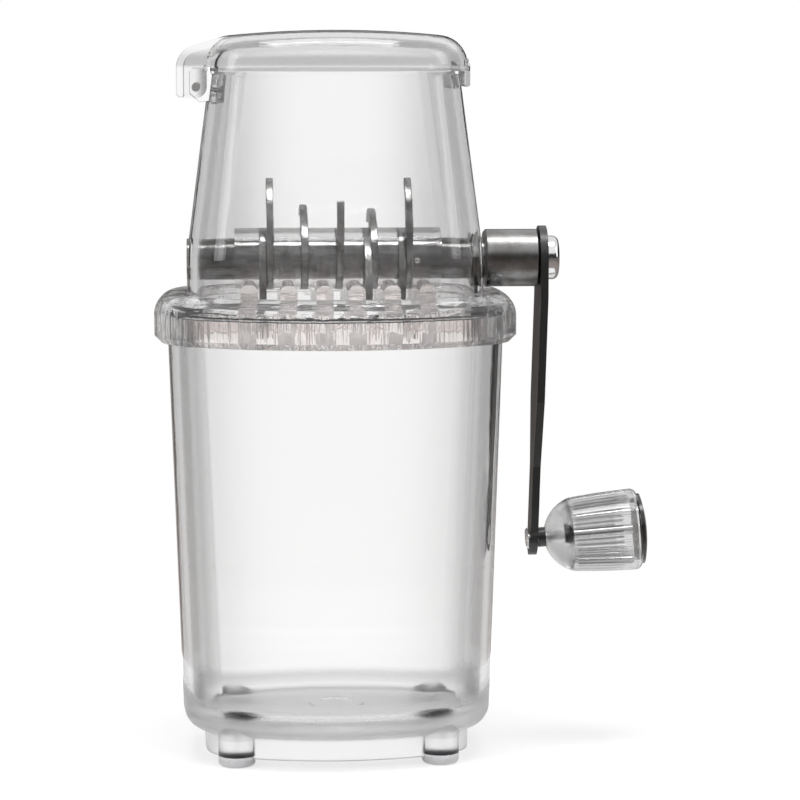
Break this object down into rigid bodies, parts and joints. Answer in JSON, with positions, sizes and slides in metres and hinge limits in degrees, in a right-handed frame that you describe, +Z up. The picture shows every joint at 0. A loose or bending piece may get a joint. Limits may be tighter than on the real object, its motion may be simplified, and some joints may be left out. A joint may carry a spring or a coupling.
{
  "type": "hand crank ice crusher",
  "caption": "Clear upright ice crusher with a hinged hopper lid, a clawed shaft turned by a side crank with a fluted knob, a fixed grate and a lift-off jar on four feet.",
  "frame": {"origin": "on the table under the middle of the jar", "axes": "+X along the shaft towards the crank, -Y the front, +Z up"},
  "size_m": [0.1702, 0.094, 0.2481],
  "materials": {
    "clear_jar": "clear moulded plastic, polished",
    "clear_housing": "clear moulded plastic, polished",
    "clear_lid": "clear moulded plastic, polished",
    "clear_grip": "clear moulded plastic with inner flutes",
    "clear_hub": "clear moulded plastic",
    "soft_pad": "soft clear pad",
    "turned_steel": "turned",
    "satin_steel": "satin turned",
    "blade_steel": "polished",
    "bright_screw": "polished",
    "black_arm": "satin black",
    "dark_washer": "black",
    "dark_cap": "gloss"
  },
  "bodies": {
    "jar": {"container": "clear_jar", "foot_pad_front_left": "soft_pad", "foot_pad_front_right": "soft_pad", "foot_pad_back_left": "soft_pad", "foot_pad_back_right": "soft_pad"},
    "housing": {"hopper": "clear_housing", "collar": "clear_housing", "grate": "clear_housing", "grate_screws": "turned_steel", "left_bearing": "turned_steel", "hinge_pin": "turned_steel"},
    "lid": {"lid": "clear_lid"},
    "rotor": {"drive_shaft": "turned_steel", "hub_spacer_1": "clear_hub", "hub_spacer_2": "clear_hub", "hub_spacer_3": "clear_hub", "hub_spacer_4": "clear_hub", "hub_spacer_5": "clear_hub", "hub_spacer_6": "clear_hub", "blade_1": "blade_steel", "blade_2": "blade_steel", "blade_3": "blade_steel", "blade_4": "blade_steel", "blade_5": "blade_steel", "blade_6": "blade_steel", "blade_7": "blade_steel", "blade_8": "blade_steel", "lock_pin": "turned_steel", "crank_bush": "satin_steel", "crank_arm": "black_arm", "crank_screw": "bright_screw", "knob_spindle": "turned_steel", "knob_washer": "dark_washer", "spindle_clip": "turned_steel"},
    "knob": {"knob_grip": "clear_grip", "knob_cap": "dark_cap"}
  },
  "joints": [
    {"name": "housing_lift", "type": "slide", "parent": "jar", "child": "housing", "axis": [0, 0, 1], "range_m": [0, 0.12]},
    {"name": "lid_hinge", "type": "hinge", "parent": "housing", "child": "lid", "pos_m": [-0.0468, 0, 0.2291], "axis": [0, -1, 0], "range_deg": [0, 62]},
    {"name": "crank_turn", "type": "hinge", "parent": "housing", "child": "rotor", "pos_m": [0, 0, 0.1705], "axis": [1, 0, 0], "continuous": true},
    {"name": "knob_turn", "type": "hinge", "parent": "rotor", "child": "knob", "pos_m": [0.06999, 0, 0.0729], "axis": [0.9969, 0, 0.0785], "continuous": true}
  ]
}
